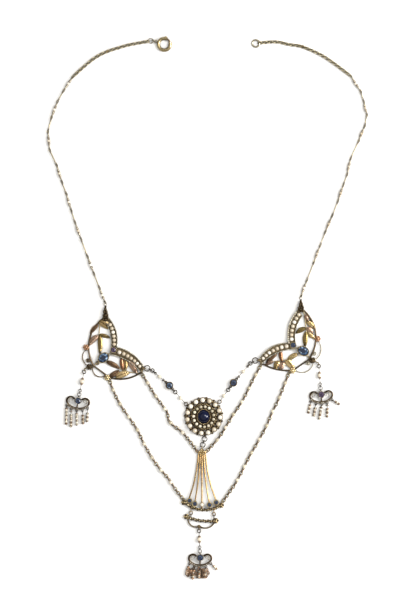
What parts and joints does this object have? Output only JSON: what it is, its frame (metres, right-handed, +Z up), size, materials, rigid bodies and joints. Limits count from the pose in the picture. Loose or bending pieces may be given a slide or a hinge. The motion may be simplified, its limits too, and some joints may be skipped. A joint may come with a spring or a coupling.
{
  "type": "festoon necklace",
  "caption": "Festoon necklace laid flat: pearl neck chain, two leafy plaques, round pearl cluster, fountain pendant, swags of fine chain and tasselled drops.",
  "frame": {"origin": "centre of the bounding box's footprint, on the surface the necklace lies on", "axes": "+X to the viewer's right, +Y from the lowest drop to the clasp, +Z up from the surface"},
  "size_m": [0.1447, 0.2447, 0.0047],
  "materials": {
    "old_gold": "aged gold with dark brown in its hollows",
    "bright_gold": "worn yellow gold",
    "chain_gold": "dull gold, olive brown",
    "pearl": "cream nacre",
    "sapphire": "cut and polished",
    "cabochon": "domed and polished"
  },
  "bodies": {
    "necklace": {"clasp_ring": "bright_gold", "clasp_links": "old_gold", "end_ring": "bright_gold", "trace_chain_left": "chain_gold", "trace_chain_right": "chain_gold", "neck_chain_left": "chain_gold", "neck_chain_right": "chain_gold", "neck_pearls_left": "pearl", "neck_pearls_right": "pearl", "plaque_left": "old_gold", "plaque_right": "old_gold", "plaque_pearls_left": "pearl", "plaque_pearls_right": "pearl", "notch_sapphire_left": "sapphire", "notch_sapphire_right": "sapphire", "oval_sapphire_left": "sapphire", "oval_sapphire_right": "sapphire", "connector_left": "old_gold", "connector_right": "old_gold", "connector_pearls_left": "pearl", "connector_pearls_right": "pearl", "connector_sapphire_left": "sapphire", "connector_sapphire_right": "sapphire", "cluster_frame": "old_gold", "cabochon": "cabochon", "outer_pearls": "pearl", "inner_pearls": "pearl", "cluster_rings": "old_gold", "fountain": "bright_gold", "fountain_sapphires": "sapphire", "fountain_pearl": "pearl", "bow_bar": "old_gold", "bow_rings": "old_gold", "inner_swag_left": "chain_gold", "inner_swag_right": "chain_gold", "outer_swag_left": "chain_gold", "outer_swag_right": "chain_gold", "drop_chain_left": "old_gold", "drop_pearl_left": "pearl", "drop_scroll_left": "bright_gold", "drop_sapphire_left": "sapphire", "drop_strands_left": "old_gold", "strand_pearls_left": "pearl", "drop_chain_right": "old_gold", "drop_pearl_right": "pearl", "drop_scroll_right": "bright_gold", "drop_sapphire_right": "sapphire", "drop_strands_right": "old_gold", "strand_pearls_right": "pearl", "drop_chain_centre": "old_gold", "drop_pearl_centre": "pearl", "drop_scroll_centre": "bright_gold", "drop_sapphire_centre": "sapphire", "drop_strands_centre": "old_gold", "strand_pearls_centre": "pearl"},
    "bolt": {"clasp_bolt": "old_gold"}
  },
  "joints": [
    {"name": "bolt_slide", "type": "hinge", "parent": "necklace", "child": "bolt", "pos_m": [-0.0191, 0.1184, 0.0008], "axis": [0, 0, 1], "range_deg": [0, 50], "stiffness_Nm_per_rad": 0.001, "springref_deg": -57.3}
  ]
}
